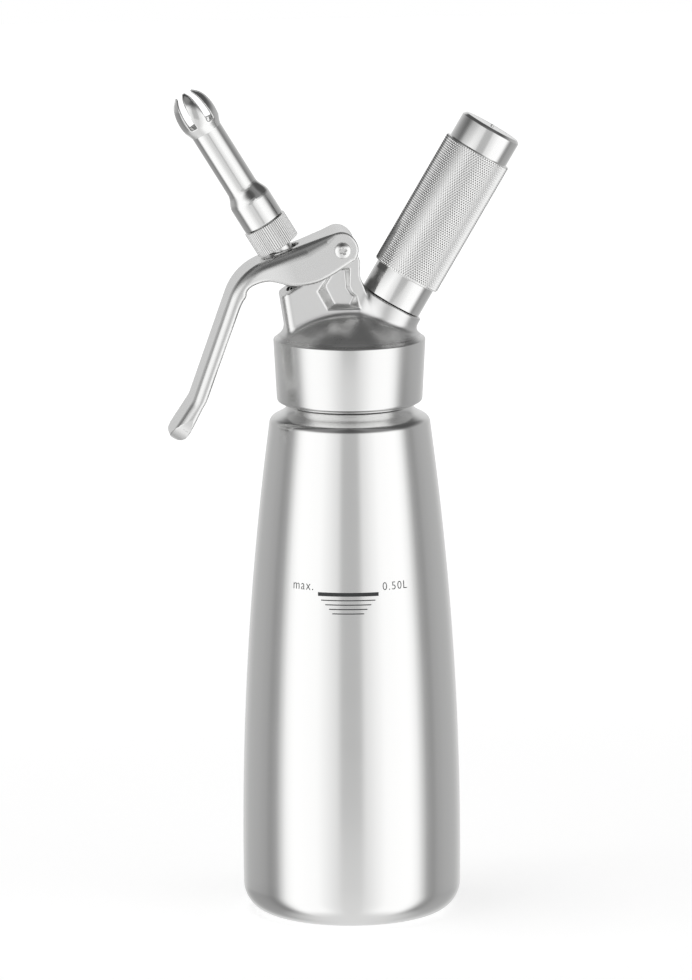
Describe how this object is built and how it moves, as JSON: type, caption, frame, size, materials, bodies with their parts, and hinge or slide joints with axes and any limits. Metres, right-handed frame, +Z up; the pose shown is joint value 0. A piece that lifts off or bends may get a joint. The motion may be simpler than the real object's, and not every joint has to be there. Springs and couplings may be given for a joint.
{
  "type": "whipped cream dispenser",
  "caption": "Steel gas-charged cream dispenser: round tapering bottle, screw-on cast head with pressing lever, sprung valve with tulip nozzle, and knurled charger holder.",
  "frame": {"origin": "centre of the bottle's flat base, on the surface it stands on", "axes": "+Z up along the bottle, +X towards the charger holder, -X towards the nozzle and the lever, -Y towards the viewer of the lever's flat side"},
  "size_m": [0.1286, 0.079, 0.3021],
  "materials": {
    "bottle_steel": "brushed round the bottle",
    "cast_steel": "satin",
    "polished_steel": "polished",
    "spring_steel": "drawn wire",
    "charger_steel": "plated",
    "brass": "turned",
    "black_rubber": "matt",
    "pale_silicone": "matt"
  },
  "bodies": {
    "bottle": {"bottle": "bottle_steel"},
    "gasket": {"head_gasket": "pale_silicone"},
    "head": {"head": "cast_steel", "piercer_body": "brass", "piercing_pin": "polished_steel", "charger_seal": "black_rubber", "check_valve": "black_rubber", "valve_spring": "spring_steel"},
    "lever": {"lever": "cast_steel", "pivot_screw": "polished_steel", "pivot_barrel": "polished_steel"},
    "stem": {"valve_stem": "polished_steel", "stem_ring": "black_rubber", "valve_seal": "black_rubber", "valve_nut": "polished_steel"},
    "seal": {"adapter_seal": "pale_silicone"},
    "nozzle": {"nozzle_adapter": "polished_steel", "tulip_nozzle": "polished_steel"},
    "charger": {"gas_charger": "charger_steel"},
    "holder": {"charger_holder": "polished_steel"}
  },
  "joints": [
    {"name": "head_lift", "type": "slide", "parent": "bottle", "child": "gasket", "axis": [0, 0, 1], "range_m": [0, 0.0096]},
    {"name": "head_turn", "type": "hinge", "parent": "gasket", "child": "head", "pos_m": [0, 0, 0.2], "axis": [0, 0, 1], "range_deg": [0, 1080]},
    {"name": "lever_hinge", "type": "hinge", "parent": "head", "child": "lever", "pos_m": [-0.0032, 0, 0.2443], "axis": [0, -1, 0], "range_deg": [0, 10]},
    {"name": "stem_slide", "type": "slide", "parent": "head", "child": "stem", "axis": [0.5225, 0, -0.8526], "range_m": [0, 0.0026], "stiffness_N_per_m": 2000, "springref_m": -0.005, "deforming": ["valve_spring"]},
    {"name": "adapter_lift", "type": "slide", "parent": "stem", "child": "seal", "axis": [-0.5225, 0, 0.8526], "range_m": [0, 0.006]},
    {"name": "nozzle_turn", "type": "hinge", "parent": "seal", "child": "nozzle", "pos_m": [-0.0174, 0, 0.2319], "axis": [-0.5225, 0, 0.8526], "range_deg": [0, 1440]},
    {"name": "charger_lift", "type": "slide", "parent": "head", "child": "charger", "axis": [0.506, 0, 0.8625], "range_m": [0, 0.007]},
    {"name": "holder_turn", "type": "hinge", "parent": "charger", "child": "holder", "pos_m": [0.015, 0, 0.22385], "axis": [0.506, 0, 0.8625], "range_deg": [0, 1440]}
  ],
  "couplings": [
    {"joint": "head_lift", "follows": "head_turn", "m_per_rad": 0.00050929},
    {"joint": "lever_hinge", "follows": "stem_slide", "rad_per_m": 67.159},
    {"joint": "nozzle_turn", "follows": "adapter_lift", "rad_per_m": 4188.8},
    {"joint": "holder_turn", "follows": "charger_lift", "rad_per_m": 3590.4}
  ]
}
